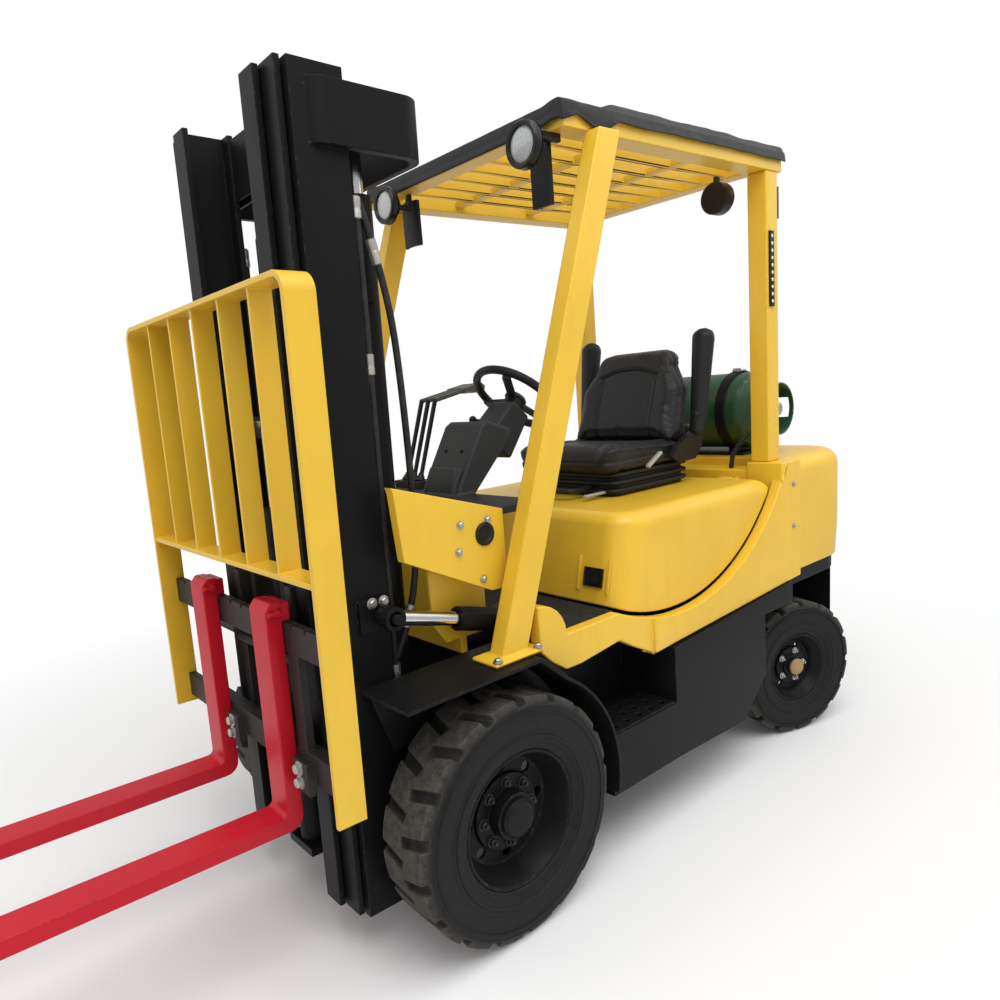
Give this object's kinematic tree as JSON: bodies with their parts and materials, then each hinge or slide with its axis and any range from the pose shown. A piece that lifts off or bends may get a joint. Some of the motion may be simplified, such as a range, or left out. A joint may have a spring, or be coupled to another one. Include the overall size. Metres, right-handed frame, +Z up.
{
  "type": "counterbalance forklift truck",
  "caption": "Counterbalance forklift with a nested telescoping mast, side-shifting forks, load backrest, overhead guard, seat, gas tank and rear steering.",
  "frame": {"origin": "on the floor under the middle of the overall length and width", "axes": "+X forward along the forks, +Y to the operator's left, +Z up"},
  "size_m": [3.63, 1.2094, 2.23],
  "materials": {
    "black_paint": "satin",
    "black_plastic": "matte",
    "bright_steel": "polished",
    "cast_iron": "matte",
    "cover_vinyl": "satin",
    "dark_steel": "worn",
    "engine_paint": "matte",
    "floor_rubber": "matte",
    "green_paint": "satin",
    "grey_plastic": "matte",
    "hose_rubber": "satin",
    "lamp_black": "gloss",
    "red_paint": "gloss",
    "seat_vinyl": "satin",
    "tyre": "matte",
    "yellow_paint": "gloss"
  },
  "bodies": {
    "chassis": {"frame": "black_paint", "step_treads": "black_paint", "fenders": "black_paint", "side_panels": "yellow_paint", "floor_plate": "floor_rubber", "cowl": "yellow_paint", "dash_console": "grey_plastic", "control_levers": "black_plastic", "pedals": "black_paint", "guard_legs": "yellow_paint", "guard_roof": "yellow_paint", "roof_cover": "cover_vinyl", "lamps": "lamp_black", "mirrors": "black_plastic", "rear_deck": "yellow_paint", "counterweight": "yellow_paint", "counterweight_base": "black_paint", "tank_bracket": "black_paint", "gas_tank": "green_paint", "drive_axle": "cast_iron", "steer_axle": "cast_iron", "engine_block": "engine_paint"},
    "hood": {"hood": "yellow_paint", "seat_base": "black_plastic", "seat_cushion": "seat_vinyl", "seat_back": "seat_vinyl", "armrests": "black_plastic"},
    "drive_wheel_left": {"drive_rim_left": "black_paint", "drive_tyre_left": "tyre"},
    "drive_wheel_right": {"drive_rim_right": "black_paint", "drive_tyre_right": "tyre"},
    "knuckle_left": {"knuckle_left": "cast_iron"},
    "knuckle_right": {"knuckle_right": "cast_iron"},
    "steer_wheel_left": {"steer_rim_left": "black_paint", "steer_tyre_left": "tyre"},
    "steer_wheel_right": {"steer_rim_right": "black_paint", "steer_tyre_right": "tyre"},
    "steer_rod": {"steer_rod": "bright_steel"},
    "steering_wheel": {"steering_wheel": "black_plastic"},
    "mast": {"outer_mast": "black_paint", "lift_cylinders": "black_paint", "mast_hoses": "hose_rubber"},
    "mast_middle": {"middle_mast": "black_paint", "lift_rods": "bright_steel"},
    "mast_inner": {"inner_mast": "black_paint", "free_lift_cylinder": "black_paint"},
    "free_rod": {"free_lift_rod": "bright_steel", "lift_chains": "dark_steel"},
    "carriage": {"carriage": "dark_steel"},
    "shifter": {"sideshift_frame": "dark_steel", "load_backrest": "yellow_paint", "forks": "red_paint"},
    "tilt_barrels": {"tilt_cylinders": "black_paint"},
    "tilt_rods": {"tilt_rods": "bright_steel"}
  },
  "joints": [
    {"name": "drive_left", "type": "hinge", "parent": "chassis", "child": "drive_wheel_left", "pos_m": [0.24904, 0.494, 0.338], "axis": [0, 1, 0], "continuous": true},
    {"name": "drive_right", "type": "hinge", "parent": "chassis", "child": "drive_wheel_right", "pos_m": [0.24904, -0.494, 0.338], "axis": [0, 1, 0], "continuous": true},
    {"name": "steer_left", "type": "hinge", "parent": "chassis", "child": "knuckle_left", "pos_m": [-1.37096, 0.336, 0.268], "axis": [0, 0, 1], "range_deg": [-48, 82]},
    {"name": "steer_right", "type": "hinge", "parent": "chassis", "child": "knuckle_right", "pos_m": [-1.37096, -0.336, 0.268], "axis": [0, 0, 1], "range_deg": [-48.5, 82.5]},
    {"name": "steer_rod_slide", "type": "slide", "parent": "chassis", "child": "steer_rod", "axis": [0, 1, 0], "range_m": [-0.04785, 0.08103]},
    {"name": "steer_wheel_left_spin", "type": "hinge", "parent": "knuckle_left", "child": "steer_wheel_left", "pos_m": [-1.33325, 0.45936, 0.268], "axis": [0.2924, 0.9563, 0], "continuous": true},
    {"name": "steer_wheel_right_spin", "type": "hinge", "parent": "knuckle_right", "child": "steer_wheel_right", "pos_m": [-1.40868, -0.45936, 0.268], "axis": [0.2924, 0.9563, 0], "continuous": true},
    {"name": "steering_wheel_turn", "type": "hinge", "parent": "chassis", "child": "steering_wheel", "pos_m": [-0.34396, 0.03, 1.428], "axis": [-0.6691, 0, 0.7431], "continuous": true},
    {"name": "hood_lift", "type": "hinge", "parent": "chassis", "child": "hood", "pos_m": [-1.15696, 0, 1.038], "axis": [0, -1, 0], "range_deg": [0, 18]},
    {"name": "mast_tilt", "type": "hinge", "parent": "chassis", "child": "mast", "pos_m": [0.24904, 0, 0.338], "axis": [0, 1, 0], "range_deg": [-4.5, 7.5]},
    {"name": "tilt_barrel_swing", "type": "hinge", "parent": "chassis", "child": "tilt_barrels", "pos_m": [0.05904, 0, 0.815], "axis": [0, 1, 0], "range_deg": [-4.11, 6.71]},
    {"name": "tilt_rod_slide", "type": "slide", "parent": "tilt_barrels", "child": "tilt_rods", "axis": [0.9649, 0, 0.2627], "range_m": [-0.04107, 0.06778]},
    {"name": "mast_lift", "type": "slide", "parent": "mast", "child": "mast_middle", "axis": [-0.0262, 0, 0.9997], "range_m": [0, 1.55]},
    {"name": "inner_lift", "type": "slide", "parent": "mast_middle", "child": "mast_inner", "axis": [-0.0262, 0, 0.9997], "range_m": [0, 1.551]},
    {"name": "free_lift", "type": "slide", "parent": "mast_inner", "child": "carriage", "axis": [-0.0262, 0, 0.9997], "range_m": [-0.358, 1.05]},
    {"name": "free_rod_lift", "type": "slide", "parent": "mast_inner", "child": "free_rod", "axis": [-0.0262, 0, 0.9997], "range_m": [-0.18, 0.526]},
    {"name": "side_shift", "type": "slide", "parent": "carriage", "child": "shifter", "axis": [0, 1, 0], "range_m": [-0.06, 0.14]}
  ],
  "couplings": [
    {"joint": "steer_right", "follows": "steer_left", "ratio": 1},
    {"joint": "steer_rod_slide", "follows": "steer_left", "m_per_rad": 0.055922},
    {"joint": "tilt_barrel_swing", "follows": "mast_tilt", "ratio": 0.86782},
    {"joint": "tilt_rod_slide", "follows": "mast_tilt", "m_per_rad": 0.51016},
    {"joint": "inner_lift", "follows": "mast_lift", "ratio": 1},
    {"joint": "free_rod_lift", "follows": "free_lift", "ratio": 0.5}
  ]
}
